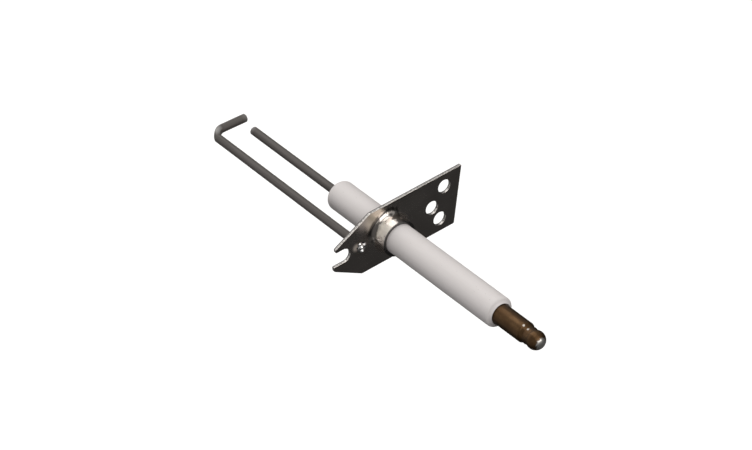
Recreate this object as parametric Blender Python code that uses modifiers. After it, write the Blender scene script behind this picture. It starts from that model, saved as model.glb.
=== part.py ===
"""Ignition electrode for a gas or oil burner.

A ceramic tube is held in the drawn collar of a stamped bracket. A straight spark rod runs through
the tube to a snap terminal, and a bent ground rod, welded into the bracket, faces the rod's tip.

Frame: +X along the electrode towards the terminal, +Y towards the three-hole end of the bracket,
+Z up. The origin is on the electrode's axis, in the plane of the bracket's spark-side face.
"""
import math

import bmesh
import bpy

MM = 0.001
GAP = 0.3 * MM

# Ceramic tube
TUBE_RADIUS = 4.7625 * MM
TUBE_FRONT = -24.05 * MM
TUBE_REAR = 52.0 * MM
TUBE_EDGE = 0.9 * MM
TUBE_NOSE = 1.8 * MM
TUBE_CROWN = 0.7 * MM
TUBE_LIP = 0.15 * MM
BORE_RADIUS = 1.75 * MM
FRONT_POCKET_RADIUS = 2.9 * MM
FRONT_POCKET_DEPTH = 5.0 * MM
REAR_POCKET_RADIUS = 3.3 * MM
REAR_POCKET_DEPTH = 7.0 * MM

# Rods
ROD_RADIUS = 1.35 * MM
ROD_END_CHAMFER = 0.3 * MM
SPARK_TIP = -67.7 * MM
SPARK_ROD_END = 56.5 * MM
GROUND_Y = -10.2 * MM
GROUND_LEG_X = -75.4 * MM
GROUND_LEG_END_Y = 2.25 * MM
GROUND_LEG_LEAN = 3.4
GROUND_BEND_RADIUS = 3.4 * MM
GROUND_BEND_CENTRE = (GROUND_LEG_X + GROUND_BEND_RADIUS, GROUND_Y + GROUND_BEND_RADIUS)
GROUND_BEND_FLAT = 0.8 * MM
GROUND_BEND_SPREAD = 0.2

# Stamped bracket
PLATE_THICKNESS = 1.0 * MM
PLATE_HALF_HEIGHT = 9.7 * MM
SLANT_TOP_Y = 27.95 * MM
SLANT_BOTTOM_Y = 23.3 * MM
UPPER_TAPER_Y = -6.1 * MM
LOWER_TAPER_Y = -11.1 * MM
UPPER_PRONG_TIP = (-19.25 * MM, 3.5 * MM)
LOWER_PRONG_TIP = (-20.55 * MM, -3.85 * MM)
NOTCH_HALF_WIDTH = 2.3 * MM
NOTCH_CENTRE_Y = -16.65 * MM
HOLE_RADIUS = 2.25 * MM
HOLES = ((21.05 * MM, 5.27 * MM), (15.9 * MM, 0.0), (18.3 * MM, -5.27 * MM))

# Drawn collar of the bracket
COLLAR_RIM = 5.9 * MM
COLLAR_BORE = TUBE_RADIUS + GAP
COLLAR_RIM_RADIUS = 5.85 * MM
COLLAR_FOOT_RADIUS = 6.15 * MM
COLLAR_LIP = 0.15 * MM
COLLAR_FILLET = 1.85 * MM
COLLAR_DRAW_RADIUS = 2.75 * MM
OVERRUN = 0.03 * MM
CEMENT_TOP_DEGREES = 231.0
CEMENT_MOUTH_DEGREES = 206.0
CEMENT_CROWN = 0.4 * MM

# Weld bead at the ground rod's end
WELD_RADIUS = 2.0 * MM
WELD_HEIGHT = 0.85 * MM

# Snap terminal
SHANK_RADIUS = 2.2 * MM
SHANK_END = 46.0 * MM
PIN_RADIUS = 3.175 * MM
PIN_BASE = TUBE_REAR + TUBE_CROWN + GAP
PIN_SHOULDER = 63.7 * MM
PIN_CHAMFER = 0.35 * MM
NECK_RADIUS = 2.75 * MM
NECK_START = 64.5 * MM
NECK_END = 65.3 * MM
BALL_RADIUS = 2.9 * MM
BALL_CENTRE = 67.85 * MM
BALL_SHOULDER_DEGREES = 25.0
SOCKET_BOTTOM = SPARK_ROD_END + GAP

# Roundness of the turned and swept pieces
TUBE_STEPS = 48
ROD_STEPS = 24
CORNER_STEPS = 4
HOLE_STEPS = 28


def clear_scene():
    """Remove every object of the start-up scene."""
    for item in list(bpy.data.objects):
        bpy.data.objects.remove(item, do_unlink=True)


def new_collection(name):
    """Return a collection linked to the scene."""
    group = bpy.data.collections.new(name)
    bpy.context.scene.collection.children.link(group)
    return group


def material(name, colour, roughness, metallic):
    """Return a Principled BSDF material."""
    made = bpy.data.materials.new(name)
    made.use_nodes = True
    shader = made.node_tree.nodes["Principled BSDF"]
    shader.inputs["Base Color"].default_value = (*colour, 1.0)
    shader.inputs["Roughness"].default_value = roughness
    shader.inputs["Metallic"].default_value = metallic
    return made


def arc(centre, radius, start, end, steps=CORNER_STEPS):
    """Points on an arc about centre, from the start angle to the end angle in degrees."""
    points = []
    for step in range(steps + 1):
        angle = math.radians(start + (end - start) * step / steps)
        points.append((centre[0] + radius * math.cos(angle), centre[1] + radius * math.sin(angle)))
    return points


def rounded(corners):
    """Replace each (point, radius) corner of a closed outline by an arc tangent to its sides."""
    outline = []
    for index, (point, radius) in enumerate(corners):
        before = corners[index - 1][0]
        after = corners[(index + 1) % len(corners)][0]
        if radius == 0.0:
            outline.append(point)
            continue
        to_before = math.atan2(before[1] - point[1], before[0] - point[0])
        to_after = math.atan2(after[1] - point[1], after[0] - point[0])
        turn = (to_after - to_before + math.pi) % (2.0 * math.pi) - math.pi
        middle = to_before + turn / 2.0
        reach = radius / abs(math.sin(turn / 2.0))
        centre = (point[0] + reach * math.cos(middle), point[1] + reach * math.sin(middle))
        side = math.copysign(1.0, turn)
        start = math.degrees(to_before - side * math.pi / 2.0)
        end = math.degrees(to_after + side * math.pi / 2.0)
        sweep = (end - start + 180.0) % 360.0 - 180.0
        outline.extend(arc(centre, radius, start, start + sweep))
    return outline


def turned(name, profile, group, closed=False, steps=TUBE_STEPS):
    """Turn a profile of (x, radius) points, from +X down its outer side, about the X axis."""
    mesh = bpy.data.meshes.new(name)
    points = [(radius, 0.0, along) for along, radius in profile]
    edges = [(index, index + 1) for index in range(len(points) - 1)]
    if closed:
        edges.append((len(points) - 1, 0))
    mesh.from_pydata(points, edges, [])
    piece = bpy.data.objects.new(name, mesh)
    group.objects.link(piece)
    piece.rotation_euler = (0.0, math.pi / 2.0, 0.0)
    screw = piece.modifiers.new("turn", "SCREW")
    screw.axis = "Z"
    screw.steps = steps
    screw.render_steps = steps
    screw.use_merge_vertices = True
    screw.merge_threshold = 0.00001
    return piece


def as_mesh(piece, group):
    """Replace a curve or a modified object by a mesh object with its caps welded."""
    bpy.context.view_layer.update()
    evaluated = piece.evaluated_get(bpy.context.evaluated_depsgraph_get())
    mesh = bpy.data.meshes.new_from_object(evaluated)
    name = piece.name
    matrix = piece.matrix_world.copy()
    bpy.data.objects.remove(piece, do_unlink=True)
    shape = bmesh.new()
    shape.from_mesh(mesh)
    bmesh.ops.remove_doubles(shape, verts=shape.verts, dist=0.000005)
    bmesh.ops.recalc_face_normals(shape, faces=shape.faces)
    shape.to_mesh(mesh)
    shape.free()
    made = bpy.data.objects.new(name, mesh)
    made.matrix_world = matrix
    group.objects.link(made)
    return made


def finish(piece, surface, smooth=True):
    """Give a piece its material and its shading."""
    piece.data.materials.clear()
    piece.data.materials.append(surface)
    if smooth and piece.type == "MESH":
        piece.data.shade_smooth()
        piece.data.set_sharp_from_angle(angle=math.radians(35.0))


def boolean(piece, other, operation):
    """Join or cut a piece with another object, with the exact solver."""
    change = piece.modifiers.new(operation.lower(), "BOOLEAN")
    change.operation = operation
    change.solver = "EXACT"
    change.object = other
    other.hide_render = True
    other.display_type = "WIRE"


def plate_outline():
    """Outline of the bracket in (y, z), with two prongs either side of an open notch."""
    half = PLATE_HALF_HEIGHT
    notch = NOTCH_HALF_WIDTH
    first = rounded((
        ((SLANT_TOP_Y, half), 0.25 * MM),
        ((UPPER_TAPER_Y, half), 1.2 * MM),
        (UPPER_PRONG_TIP, 0.5 * MM),
        ((UPPER_PRONG_TIP[0], notch), 0.35 * MM),
        ((NOTCH_CENTRE_Y, notch), 0.0),
        ((NOTCH_CENTRE_Y, -notch), 0.0),
        ((LOWER_PRONG_TIP[0], -notch), 0.35 * MM),
        (LOWER_PRONG_TIP, 0.7 * MM),
        ((LOWER_TAPER_Y, -half), 1.2 * MM),
        ((SLANT_BOTTOM_Y, -half), 0.4 * MM),
    ))
    start = first.index((NOTCH_CENTRE_Y, notch))
    root = arc((NOTCH_CENTRE_Y, 0.0), notch, 90.0, -90.0, steps=14)
    return first[:start] + root + first[start + 2:]


def circle(centre, radius, steps=HOLE_STEPS):
    """A closed ring of points."""
    return arc(centre, radius, 0.0, 360.0, steps)[:-1]


def make_plate(group):
    """Flat bracket blank with its mounting holes and the hole for the ground rod."""
    curve = bpy.data.curves.new("bracket", "CURVE")
    curve.dimensions = "2D"
    curve.fill_mode = "BOTH"
    curve.extrude = PLATE_THICKNESS / 2.0
    rings = [plate_outline()]
    rings += [circle(centre, HOLE_RADIUS) for centre in HOLES]
    rings.append(circle((GROUND_Y, 0.0), ROD_RADIUS + GAP))
    for ring in rings:
        spline = curve.splines.new("POLY")
        spline.points.add(len(ring) - 1)
        for point, (across, up) in zip(spline.points, ring):
            point.co = (across, up, 0.0, 1.0)
        spline.use_cyclic_u = True
    piece = bpy.data.objects.new("bracket", curve)
    piece.rotation_euler = (math.pi / 2.0, 0.0, math.pi / 2.0)
    piece.location.x = PLATE_THICKNESS / 2.0
    group.objects.link(piece)
    return as_mesh(piece, group)


def collar_profile():
    """Outer form of the collar: lip, slightly conical wall and the fillet down to the plate."""
    lip = arc((COLLAR_RIM - COLLAR_LIP, COLLAR_RIM_RADIUS - COLLAR_LIP), COLLAR_LIP, 0.0, 90.0)
    fillet_x = PLATE_THICKNESS + COLLAR_FILLET - OVERRUN
    fillet_r = COLLAR_FOOT_RADIUS + COLLAR_FILLET
    fillet = arc((fillet_x, fillet_r), COLLAR_FILLET, 270.0, 180.0, steps=6)
    foot = PLATE_THICKNESS / 2.0
    return [(COLLAR_RIM, 0.0)] + lip + fillet + [(foot, fillet_r), (foot, 0.0)]


def bore_profile():
    """Bore of the collar, which opens into a rounded funnel on the spark side."""
    funnel_r = COLLAR_BORE + COLLAR_DRAW_RADIUS
    centre = (COLLAR_DRAW_RADIUS - OVERRUN, funnel_r)
    funnel = arc(centre, COLLAR_DRAW_RADIUS, 270.0, 180.0, steps=7)
    top = COLLAR_RIM + 1.0 * MM
    bottom = -1.0 * MM
    return [(top, 0.0), (top, COLLAR_BORE)] + funnel + [(bottom, funnel_r), (bottom, 0.0)]


def make_bracket(parts, cutters, steel):
    """Stamped bracket: the plate, joined with its drawn collar and bored for the tube."""
    piece = make_plate(parts)
    boolean(piece, turned("collar_form", collar_profile(), cutters), "UNION")
    boolean(piece, turned("collar_bore", bore_profile(), cutters), "DIFFERENCE")
    finish(piece, steel)


def make_insulator(parts, ceramic):
    """Ceramic tube with a round nose, a crown at the rear, a through bore and two cement pockets."""
    edge = TUBE_EDGE
    crown = TUBE_REAR + TUBE_CROWN
    rear = [(crown, REAR_POCKET_RADIUS + TUBE_LIP)]
    rear += arc((TUBE_REAR - edge, TUBE_RADIUS - edge), edge, 0.0, 90.0)
    nose = TUBE_NOSE
    front = arc((TUBE_FRONT + nose, TUBE_RADIUS - nose), nose, 90.0, 180.0, steps=6)
    front_floor = TUBE_FRONT + FRONT_POCKET_DEPTH
    rear_floor = TUBE_REAR - REAR_POCKET_DEPTH
    bore = [
        (TUBE_FRONT, FRONT_POCKET_RADIUS),
        (front_floor, FRONT_POCKET_RADIUS),
        (front_floor, BORE_RADIUS),
        (rear_floor, BORE_RADIUS),
        (rear_floor, REAR_POCKET_RADIUS),
        (crown, REAR_POCKET_RADIUS),
    ]
    piece = turned("insulator", rear + front + bore, parts, closed=True)
    finish(piece, ceramic)


def make_spark_rod(parts, alloy):
    """Straight rod from the spark tip, through the tube, into the terminal's socket."""
    chamfer = ROD_END_CHAMFER
    inner = ROD_RADIUS - chamfer
    profile = [
        (SPARK_ROD_END, 0.0),
        (SPARK_ROD_END, inner),
        (SPARK_ROD_END - chamfer, ROD_RADIUS),
        (SPARK_TIP + chamfer, ROD_RADIUS),
        (SPARK_TIP, inner),
        (SPARK_TIP, 0.0),
    ]
    finish(turned("spark_rod", profile, parts, steps=ROD_STEPS), alloy)


def ground_route():
    """Centre line of the ground rod as (x, y, radius factor): plate, bend and leaning leg."""
    chamfer = ROD_END_CHAMFER
    blunt = 1.0 - chamfer / ROD_RADIUS
    end_x = PLATE_THICKNESS
    route = [(end_x, GROUND_Y, blunt), (end_x - chamfer, GROUND_Y, 1.0)]
    last_angle = 180.0 - GROUND_LEG_LEAN
    for along, across in arc(GROUND_BEND_CENTRE, GROUND_BEND_RADIUS, 270.0, last_angle, steps=10):
        route.append((along, across, 1.0))
    leg_x, leg_y = route[-1][:2]
    slope = math.tan(math.radians(GROUND_LEG_LEAN))
    for across, factor in ((GROUND_LEG_END_Y - chamfer, 1.0), (GROUND_LEG_END_Y, blunt)):
        route.append((leg_x + slope * (across - leg_y), across, factor))
    return route


def press_bend(mesh):
    """Press the bend wider, and its outer side flatter, most at its middle, as a die does."""
    for vertex in mesh.vertices:
        along = GROUND_BEND_CENTRE[0] - vertex.co.x
        across = GROUND_BEND_CENTRE[1] - vertex.co.y
        if along <= 0.0 or across <= 0.0:
            continue
        middle = math.sin(2.0 * math.atan2(across, along))
        vertex.co.z *= 1.0 + GROUND_BEND_SPREAD * middle
        reach = math.hypot(along, across)
        share = max(0.0, (reach - GROUND_BEND_RADIUS) / ROD_RADIUS)
        scale = 1.0 - GROUND_BEND_FLAT * share * middle / reach
        vertex.co.x = GROUND_BEND_CENTRE[0] - along * scale
        vertex.co.y = GROUND_BEND_CENTRE[1] - across * scale


def make_ground_rod(parts, alloy):
    """Bent rod from the bracket to a leg that crosses in front of the spark rod's tip."""
    curve = bpy.data.curves.new("ground_rod", "CURVE")
    curve.dimensions = "3D"
    curve.bevel_depth = ROD_RADIUS
    curve.bevel_resolution = ROD_STEPS // 2 - 2
    curve.use_fill_caps = True
    route = ground_route()
    spline = curve.splines.new("POLY")
    spline.points.add(len(route) - 1)
    for point, (along, across, factor) in zip(spline.points, route):
        point.co = (along, across, 0.0, 1.0)
        point.radius = factor
    piece = bpy.data.objects.new("ground_rod", curve)
    parts.objects.link(piece)
    rod = as_mesh(piece, parts)
    press_bend(rod.data)
    finish(rod, alloy)


def make_weld(parts, weld_metal):
    """Low round bead over the ground rod's end, on the terminal side of the plate."""
    base = PLATE_THICKNESS + GAP
    dome_radius = (WELD_RADIUS ** 2 + WELD_HEIGHT ** 2) / (2.0 * WELD_HEIGHT)
    centre = base + WELD_HEIGHT - dome_radius
    spread = math.degrees(math.asin(WELD_RADIUS / dome_radius))
    dome = arc((centre, 0.0), dome_radius, 0.0, spread, steps=5)
    profile = [(dome[0][0], 0.0)] + dome[1:] + [(base, 0.0)]
    piece = turned("ground_rod_weld", profile, parts, steps=ROD_STEPS)
    piece.location.y = GROUND_Y
    finish(piece, weld_metal)


def terminal_profile():
    """Snap terminal: ball end, neck groove, plain pin, shank and the blind socket in the shank."""
    ball = arc((BALL_CENTRE, 0.0), BALL_RADIUS, 0.0, 90.0 + BALL_SHOULDER_DEGREES, steps=10)
    return [(BALL_CENTRE + BALL_RADIUS, 0.0)] + ball[1:] + [
        (NECK_END, NECK_RADIUS),
        (NECK_START, NECK_RADIUS),
        (PIN_SHOULDER, PIN_RADIUS - PIN_CHAMFER / 2.0),
        (PIN_SHOULDER - PIN_CHAMFER, PIN_RADIUS),
        (PIN_BASE, PIN_RADIUS),
        (PIN_BASE, SHANK_RADIUS),
        (SHANK_END, SHANK_RADIUS),
        (SHANK_END, ROD_RADIUS + GAP),
        (SOCKET_BOTTOM, ROD_RADIUS + GAP),
        (SOCKET_BOTTOM, 0.0),
    ]


def make_terminal(parts, brass):
    """Turned snap terminal on the end of the spark rod."""
    finish(turned("terminal", terminal_profile(), parts, steps=32), brass)


def make_front_cement(parts, cement):
    """Plug of cement round the spark rod in the tube's front pocket."""
    outer = FRONT_POCKET_RADIUS - GAP
    inner = ROD_RADIUS + GAP
    top = TUBE_FRONT + FRONT_POCKET_DEPTH - GAP
    bottom = TUBE_FRONT + 0.2 * MM
    crown = (TUBE_FRONT, (inner + outer) / 2.0)
    profile = [(top, inner), (top, outer), (bottom, outer), crown, (bottom, inner)]
    finish(turned("front_cement", profile, parts, closed=True, steps=ROD_STEPS), cement)


def make_rear_cement(parts, cement):
    """Sleeve of cement round the terminal's shank in the tube's rear pocket."""
    outer = REAR_POCKET_RADIUS - GAP
    inner = SHANK_RADIUS + GAP
    top = TUBE_REAR - 0.1 * MM
    bottom = TUBE_REAR - REAR_POCKET_DEPTH + GAP
    profile = [(top, inner), (top, outer), (bottom, outer), (bottom, inner)]
    finish(turned("rear_cement", profile, parts, closed=True, steps=ROD_STEPS), cement)


def make_collar_cement(parts, cement):
    """Ring of cement that keys the tube into the funnel of the collar, on the spark side."""
    inner = TUBE_RADIUS + GAP
    centre = (COLLAR_DRAW_RADIUS, COLLAR_BORE + COLLAR_DRAW_RADIUS)
    wall = arc(centre, COLLAR_DRAW_RADIUS + GAP, CEMENT_TOP_DEGREES, CEMENT_MOUTH_DEGREES)
    crown = (-CEMENT_CROWN, (inner + wall[-1][1]) / 2.0)
    profile = [(wall[0][0], inner)] + wall + [crown, (-CEMENT_CROWN, inner)]
    finish(turned("collar_cement", profile, parts, closed=True), cement)


def build():
    """Make every sub-part of the electrode."""
    clear_scene()
    parts = new_collection("ignition_electrode")
    cutters = new_collection("cutters")
    steel = material("bracket_steel", (0.36, 0.34, 0.32), 0.22, 1.0)
    ceramic = material("alumina", (0.78, 0.76, 0.74), 0.55, 0.0)
    alloy = material("electrode_alloy", (0.17, 0.155, 0.145), 0.45, 1.0)
    weld_metal = material("weld_metal", (0.55, 0.54, 0.52), 0.25, 1.0)
    brass = material("terminal_brass", (0.30, 0.21, 0.13), 0.35, 1.0)
    cement = material("cement", (0.62, 0.58, 0.52), 0.9, 0.0)
    make_bracket(parts, cutters, steel)
    make_insulator(parts, ceramic)
    make_spark_rod(parts, alloy)
    make_ground_rod(parts, alloy)
    make_weld(parts, weld_metal)
    make_terminal(parts, brass)
    make_front_cement(parts, cement)
    make_rear_cement(parts, cement)
    make_collar_cement(parts, cement)


build()
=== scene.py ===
"""Looks of the ignition electrode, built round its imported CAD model.

Every CAD node is replaced by a finer piece of the same size. All lengths are in metres, in the
frame of the CAD: +X along the electrode towards the terminal, +Y towards the bracket's three-hole
end, +Z up, with the origin on the axis in the plane of the bracket's spark-side face.
"""
import math

import bmesh
import bpy
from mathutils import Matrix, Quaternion, Vector, noise


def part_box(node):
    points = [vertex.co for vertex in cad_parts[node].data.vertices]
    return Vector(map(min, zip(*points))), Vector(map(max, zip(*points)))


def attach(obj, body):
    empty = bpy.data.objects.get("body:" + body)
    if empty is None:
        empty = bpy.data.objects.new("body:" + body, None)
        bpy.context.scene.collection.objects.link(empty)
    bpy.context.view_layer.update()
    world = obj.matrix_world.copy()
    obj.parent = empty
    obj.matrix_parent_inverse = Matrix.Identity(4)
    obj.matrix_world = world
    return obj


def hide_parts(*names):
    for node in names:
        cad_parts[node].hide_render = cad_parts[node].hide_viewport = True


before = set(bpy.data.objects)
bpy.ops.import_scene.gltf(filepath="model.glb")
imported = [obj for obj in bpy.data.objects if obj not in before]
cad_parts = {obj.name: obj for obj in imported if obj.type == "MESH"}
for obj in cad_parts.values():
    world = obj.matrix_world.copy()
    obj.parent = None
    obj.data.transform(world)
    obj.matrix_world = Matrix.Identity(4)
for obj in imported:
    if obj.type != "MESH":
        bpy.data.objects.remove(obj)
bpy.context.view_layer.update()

MM = 0.001
MM_PER_METRE = 1000.0

# Driving sizes, read from the frame
BRACKET_LOW, BRACKET_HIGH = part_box("bracket")
TUBE_LOW, TUBE_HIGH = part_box("insulator")
SPARK_LOW, SPARK_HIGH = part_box("spark_rod")
GROUND_LOW, GROUND_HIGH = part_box("ground_rod")
WELD_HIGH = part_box("ground_rod_weld")[1]
TERMINAL_LOW, TERMINAL_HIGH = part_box("terminal")
COLLAR_CEMENT_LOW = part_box("collar_cement")[0]

# Ceramic tube and its cement
TUBE_RADIUS = TUBE_HIGH.z
TUBE_EDGE = 0.9 * MM
TUBE_NOSE = 1.8 * MM
TUBE_CROWN = 0.7 * MM
TUBE_LIP = 0.15 * MM
BORE_RADIUS = 1.75 * MM
FRONT_POCKET_RADIUS = 2.9 * MM
FRONT_POCKET_DEPTH = 5.0 * MM
REAR_POCKET_RADIUS = 3.3 * MM
REAR_POCKET_DEPTH = 7.0 * MM
CEMENT_PLAY = 0.02 * MM
CEMENT_TIGHT_PLAY = 0.01 * MM
CEMENT_END_PLAY = 0.1 * MM

# Rods; the ground rod's leg leans a little towards the spark rod's tip
ROD_RADIUS = SPARK_HIGH.z
ROD_CHAMFER = 0.3 * MM
ROD_GRAIN = 0.02 * MM
ROD_STATION_GAP = 1.5 * MM
GROUND_Y = GROUND_LOW.y + ROD_RADIUS
LEG_LEAN = math.radians(3.4)
LEG_X = GROUND_LOW.x + ROD_RADIUS + ROD_GRAIN
LEG_END_Y = GROUND_HIGH.y - (ROD_RADIUS - ROD_CHAMFER) * math.sin(LEG_LEAN)
BEND_RADIUS = 3.4 * MM
BEND_FLAT = 0.8 * MM
BEND_SPREAD = 0.2
BEND_PINCH = 0.2 * MM
# A lighter lens on the upper side of the ground rod's bend
BEND_LENS_CENTRE = math.radians(108.0)
BEND_LENS_HALF_WIDTH = math.radians(42.0)

# Stamped bracket
PLATE_THICKNESS = 1.0 * MM
HALF_HEIGHT = BRACKET_HIGH.z
SLANT_TOP_Y = 27.94 * MM
SLANT_BOTTOM_Y = 23.3 * MM
UPPER_TAPER_Y = -6.1 * MM
LOWER_TAPER_Y = -11.1 * MM
UPPER_PRONG_TIP = (-19.25 * MM, 3.5 * MM)
LOWER_PRONG_TIP = (BRACKET_LOW.y, -3.85 * MM)
SLANT_TOP_ROUND = 0.25 * MM
SLANT_BOTTOM_ROUND = 0.4 * MM
TAPER_ROUND = 1.2 * MM
UPPER_PRONG_ROUND = 0.5 * MM
LOWER_PRONG_ROUND = 0.7 * MM
NOTCH_MOUTH_ROUND = 0.35 * MM
NOTCH_HALF_WIDTH = 2.3 * MM
NOTCH_CENTRE_Y = -16.65 * MM
HOLE_RADIUS = 2.25 * MM
HOLES = ((21.05 * MM, 5.27 * MM), (15.9 * MM, 0.0), (18.3 * MM, -5.27 * MM))
ROD_HOLE_RADIUS = ROD_RADIUS + 0.05 * MM
ROLLOVER = 0.12 * MM
ROLLOVER_WEAR = 0.3

# Sheared edge behind its burnished zone, as (depth into the metal, height over the back face)
BROKEN_HEIGHT = 0.4 * PLATE_THICKNESS
BROKEN_EDGE = (
    (0.0, BROKEN_HEIGHT),
    (0.02 * MM, BROKEN_HEIGHT - 0.06 * MM),
    (0.03 * MM, 0.08 * MM),
    (0.05 * MM, 0.02 * MM),
    (0.09 * MM, 0.0),
)

# Drawn collar
COLLAR_RIM = BRACKET_HIGH.x
COLLAR_BORE = TUBE_RADIUS + 0.04 * MM
COLLAR_RIM_RADIUS = 5.85 * MM
COLLAR_FOOT_RADIUS = 6.15 * MM
COLLAR_LIP = 0.15 * MM
COLLAR_MOUTH = 0.12 * MM
COLLAR_FILLET = 1.85 * MM
COLLAR_FOOT = PLATE_THICKNESS + COLLAR_FILLET
COLLAR_DRAW_RADIUS = 2.75 * MM
COLLAR_DRAW_CENTRE = (COLLAR_DRAW_RADIUS, COLLAR_BORE + COLLAR_DRAW_RADIUS)

# Marks of making and use, painted shade and a painted highlight: places, and pairs of distances at
# which a value is 0 and 1
DENT_ANGLE = math.radians(46.0)
DENT_PLACE = (
    COLLAR_RIM - 0.45 * MM,
    -COLLAR_RIM_RADIUS * math.sin(DENT_ANGLE),
    COLLAR_RIM_RADIUS * math.cos(DENT_ANGLE),
)
DENT_EDGE = (0.12 * MM, 0.30 * MM)
DENT_DEPTH = 0.08 * MM
FROST_PLACE = (PLATE_THICKNESS, GROUND_Y - 1.9 * MM, 0.5 * MM)
FROST_REACH = (1.9 * MM, 0.5 * MM)
HEAT_REACH = (4.2 * MM, 1.8 * MM)
DRAW_REACH = (9.0 * MM, 7.6 * MM)
# Painted shade round the collar ends between these radii
SHADE_REACH = (8.6 * MM, 7.8 * MM)
FRONT_FACE = (0.6 * PLATE_THICKNESS, 0.9 * PLATE_THICKNESS)
# Where the painted highlight on the collar's wall starts, along the axis
WALL_HIGHLIGHT_FOOT = (COLLAR_FOOT - 0.9 * MM, COLLAR_FOOT - 0.3 * MM)
# Painted shade in the collar's fillet fades out up the wall
SHADE_TOP = (COLLAR_FOOT + 0.5 * MM, COLLAR_FOOT - 0.3 * MM)
RUB_REACH = (COLLAR_RIM + 2.4 * MM, COLLAR_RIM)

# Sectors round the tube of the painted highlight and the painted shades: middle, half width of the
# full mark, half width where it ends, in degrees from +Z towards the ground rod
# Painted highlight on the collar's wall
WALL_HIGHLIGHT_SECTOR = (41.0, 12.0, 27.0)
# Painted shade on the plate by the collar
DISH_SHADE_SECTOR = (25.0, 10.0, 24.0)
FILLET_SECTOR = (58.0, 22.0, 34.0)
# Painted shade over the collar's top, towards the three-hole end
TOP_SHADE_SECTOR = (-14.0, 6.0, 16.0)

# Weld nugget: dome and lumps as (y, z, radius, height) about the ground rod's end
WELD_LUMPS = (
    (0.0, 0.0, 1.95 * MM, 0.22 * MM),
    (-0.65 * MM, 1.35 * MM, 0.70 * MM, 0.70 * MM),
    (-0.25 * MM, 0.1 * MM, 0.80 * MM, 0.95 * MM),
    (-0.2 * MM, -1.25 * MM, 0.75 * MM, 0.90 * MM),
    (1.1 * MM, 0.1 * MM, 0.65 * MM, 0.30 * MM),
)
WELD_TILT = 0.4
WELD_BLEND = 4
WELD_ROOT = PLATE_THICKNESS - 0.02 * MM
WELD_SPREAD = 0.93
WELD_WAVE = 0.06

# Terminal
PIN_RADIUS = TERMINAL_HIGH.z
PIN_BASE = TUBE_HIGH.x - 0.4 * MM
PIN_SHOULDER = 63.7 * MM
PIN_CHAMFER = 0.3 * MM
NECK_RADIUS = 2.75 * MM
NECK_START = 64.5 * MM
NECK_END = 65.3 * MM
BALL_RADIUS = 2.9 * MM
BALL_CENTRE = TERMINAL_HIGH.x - BALL_RADIUS
SHANK_RADIUS = 2.2 * MM
TIP_WEAR_RADIUS = 2.25 * MM
# Two painted glints in worn grey, on the upper side of the pin's shoulder and of the neck's end
GLINT_ANGLE = math.radians(11.0)
GLINT_SEATS = ((PIN_SHOULDER - 0.1 * MM, PIN_RADIUS - 0.05 * MM), (NECK_END, NECK_RADIUS))
GLINT_PLACES = tuple(
    (along, -radius * math.sin(GLINT_ANGLE), radius * math.cos(GLINT_ANGLE))
    for along, radius in GLINT_SEATS
)
GLINT_REACH = (0.50 * MM, 0.15 * MM)

# Camera, with its angles in degrees and its lens in millimetres, and floor
VIEW_AZIMUTH = 56.57
VIEW_ELEVATION = 38.04
VIEW_ROLL = -6.4
VIEW_DISTANCE = 0.88
VIEW_LENS = 144.2
VIEW_AIM = Vector((-2.61 * MM, -2.01 * MM, 1.37 * MM))
VIEW_CLIP = (0.05, 20.0)
FLOOR_DROP = 0.12
FLOOR_SIZE = 8.0
FLOOR_FADE = (1.4, 3.0)
FLOOR_GLOW = 0.25

# Lamps as (name, place, width and length, watts), then the room's light and its edge
LAMPS = (
    ("key", (-0.32, 0.06, 0.73), (0.55, 1.5), 3.7),
    ("front", (0.74, 0.11, 0.50), (0.8, 0.84), 3.9),
    ("back", (-0.75, -0.35, 0.35), (0.8, 0.6), 1.1),
)
LAMP_COLOUR = (1.0, 0.985, 0.96)
WHITE = (1.0, 1.0, 1.0, 1.0)
ROOM_AXIS = (-0.10, -0.45, 0.89)
ROOM_EDGE = (-0.35, 0.2)
ROOM_LIGHT = 0.42
TABLE_LIGHT = 0.034

# Fineness of the meshes
TUBE_STEPS = 160
BARREL_STEPS = 75
PIN_STEPS = 128
PLUG_STEPS = 96
ROD_STEPS = 64
BEND_STEPS = 36
NOTCH_STEPS = 36
HOLE_STEPS = 96
CORNER_STEPS = 10
WELD_RINGS = 20
WELD_STEPS = 72
MITRE_LIMIT = 0.4


# ---------------------------------------------------------------- mesh helpers

def arc(centre, radius, start, end, steps=CORNER_STEPS):
    """Points on an arc about centre, from the start angle to the end angle in degrees."""
    points = []
    for step in range(steps + 1):
        angle = math.radians(start + (end - start) * step / steps)
        points.append((centre[0] + radius * math.cos(angle), centre[1] + radius * math.sin(angle)))
    return points


def line(start, end, steps):
    """Points between two ends, without the ends themselves."""
    first = Vector(start)
    step = (Vector(end) - first) / steps
    return [tuple(first + step * index) for index in range(1, steps)]


def rounded(corners):
    """Replace each (point, radius) corner of a closed outline by an arc tangent to its sides."""
    outline = []
    for index, (point, radius) in enumerate(corners):
        before = corners[index - 1][0]
        after = corners[(index + 1) % len(corners)][0]
        if radius == 0.0:
            outline.append(point)
            continue
        to_before = math.atan2(before[1] - point[1], before[0] - point[0])
        to_after = math.atan2(after[1] - point[1], after[0] - point[0])
        turn = (to_after - to_before + math.pi) % (2.0 * math.pi) - math.pi
        middle = to_before + turn / 2.0
        reach = radius / abs(math.sin(turn / 2.0))
        centre = (point[0] + reach * math.cos(middle), point[1] + reach * math.sin(middle))
        side = math.copysign(1.0, turn)
        start = math.degrees(to_before - side * math.pi / 2.0)
        end = math.degrees(to_after + side * math.pi / 2.0)
        sweep = (end - start + 180.0) % 360.0 - 180.0
        outline.extend(arc(centre, radius, start, start + sweep))
    return outline


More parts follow.
